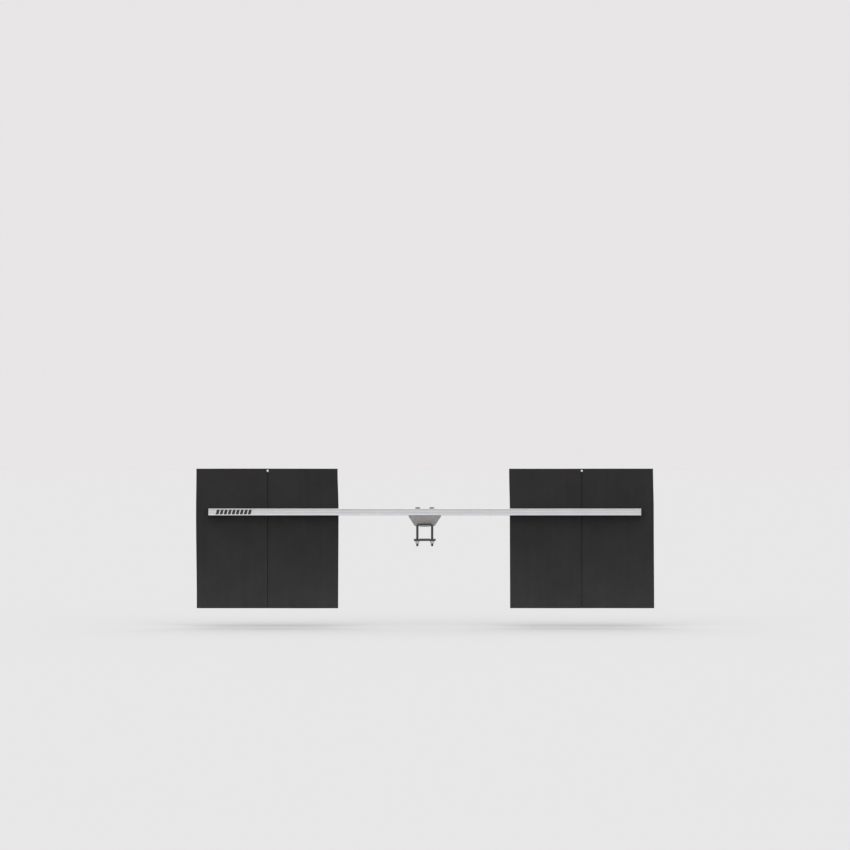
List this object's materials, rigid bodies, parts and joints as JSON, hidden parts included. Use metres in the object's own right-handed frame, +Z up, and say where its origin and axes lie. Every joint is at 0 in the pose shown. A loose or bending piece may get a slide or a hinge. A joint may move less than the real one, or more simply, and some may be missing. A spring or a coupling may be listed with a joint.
{
  "type": "hitch-mounted mud flap set",
  "caption": "Rubber mud flap panels hung on a cross rail that clamps to a square ball mount shank behind a pickup truck.",
  "frame": {"origin": "middle of the bracket's flat seat, on top of the ball mount shank that it clamps", "axes": "+X to the right for someone standing behind the truck, +Y towards the front of the truck, +Z up"},
  "size_m": [1.93, 0.1011, 0.589],
  "materials": {
    "flap_rubber": "smooth matte black sheet rubber",
    "rail_aluminium": "mill finish extrusion with fine lengthwise lines",
    "cast_bracket": "sand-cast, slightly grainy",
    "zinc_steel": "bright zinc plated",
    "dark_steel": "black oxide",
    "cap_plastic": "moulded matte black",
    "decal_vinyl": "cut black vinyl bars"
  },
  "bodies": {
    "rail_and_bracket": {"left_rail": "rail_aluminium", "left_end_cap": "cap_plastic", "left_rail_bolt": "dark_steel", "left_rail_washer": "zinc_steel", "left_rail_nut": "zinc_steel", "left_splice_screw": "dark_steel", "right_rail": "rail_aluminium", "right_end_cap": "cap_plastic", "right_rail_bolt": "dark_steel", "right_rail_washer": "zinc_steel", "right_rail_nut": "zinc_steel", "right_splice_screw": "dark_steel", "splice_bar": "rail_aluminium", "rail_decal": "decal_vinyl", "hitch_bracket": "cast_bracket", "rear_u_bolt": "dark_steel", "front_u_bolt": "dark_steel"},
    "clamp": {"clamp_plate": "dark_steel", "rear_u_bolt_nut_left": "zinc_steel", "rear_u_bolt_nut_right": "zinc_steel", "front_u_bolt_nut_left": "zinc_steel", "front_u_bolt_nut_right": "zinc_steel"},
    "left_flap_carriage": {"left_inner_flap_top": "flap_rubber", "left_outer_flap_top": "flap_rubber", "left_clamp_strip": "zinc_steel", "left_slot_bolt_1": "zinc_steel", "left_strip_nut_1": "zinc_steel", "left_slot_bolt_2": "zinc_steel", "left_strip_nut_2": "zinc_steel", "left_slot_bolt_3": "zinc_steel", "left_strip_nut_3": "zinc_steel", "left_slot_bolt_4": "zinc_steel", "left_strip_nut_4": "zinc_steel", "left_seam_plate": "zinc_steel", "left_seam_bolt": "zinc_steel", "left_seam_nut": "zinc_steel"},
    "left_inner_skirt": {"left_inner_flap_skirt": "flap_rubber"},
    "left_outer_skirt": {"left_outer_flap_skirt": "flap_rubber"},
    "right_flap_carriage": {"right_inner_flap_top": "flap_rubber", "right_outer_flap_top": "flap_rubber", "right_clamp_strip": "zinc_steel", "right_slot_bolt_1": "zinc_steel", "right_strip_nut_1": "zinc_steel", "right_slot_bolt_2": "zinc_steel", "right_strip_nut_2": "zinc_steel", "right_slot_bolt_3": "zinc_steel", "right_strip_nut_3": "zinc_steel", "right_slot_bolt_4": "zinc_steel", "right_strip_nut_4": "zinc_steel", "right_seam_plate": "zinc_steel", "right_seam_bolt": "zinc_steel", "right_seam_nut": "zinc_steel"},
    "right_inner_skirt": {"right_inner_flap_skirt": "flap_rubber"},
    "right_outer_skirt": {"right_outer_flap_skirt": "flap_rubber"}
  },
  "joints": [
    {"name": "clamp_travel", "type": "slide", "parent": "rail_and_bracket", "child": "clamp", "axis": [0, 0, -1], "range_m": [0, 0.01]},
    {"name": "left_flap_slide", "type": "slide", "parent": "rail_and_bracket", "child": "left_flap_carriage", "axis": [-1, 0, 0], "range_m": [-0.15, 0.03]},
    {"name": "left_inner_flap_bend", "type": "hinge", "parent": "left_flap_carriage", "child": "left_inner_skirt", "pos_m": [-0.51265, 0.03855, 0.04125], "axis": [-1, 0, 0], "range_deg": [-35, 60], "stiffness_Nm_per_rad": 1.5},
    {"name": "left_outer_flap_bend", "type": "hinge", "parent": "left_flap_carriage", "child": "left_outer_skirt", "pos_m": [-0.81435, 0.03855, 0.04125], "axis": [-1, 0, 0], "range_deg": [-35, 60], "stiffness_Nm_per_rad": 1.5},
    {"name": "right_flap_slide", "type": "slide", "parent": "rail_and_bracket", "child": "right_flap_carriage", "axis": [1, 0, 0], "range_m": [-0.15, 0.03]},
    {"name": "right_inner_flap_bend", "type": "hinge", "parent": "right_flap_carriage", "child": "right_inner_skirt", "pos_m": [0.51265, 0.03855, 0.04125], "axis": [-1, 0, 0], "range_deg": [-35, 60], "stiffness_Nm_per_rad": 1.5},
    {"name": "right_outer_flap_bend", "type": "hinge", "parent": "right_flap_carriage", "child": "right_outer_skirt", "pos_m": [0.81435, 0.03855, 0.04125], "axis": [-1, 0, 0], "range_deg": [-35, 60], "stiffness_Nm_per_rad": 1.5}
  ]
}
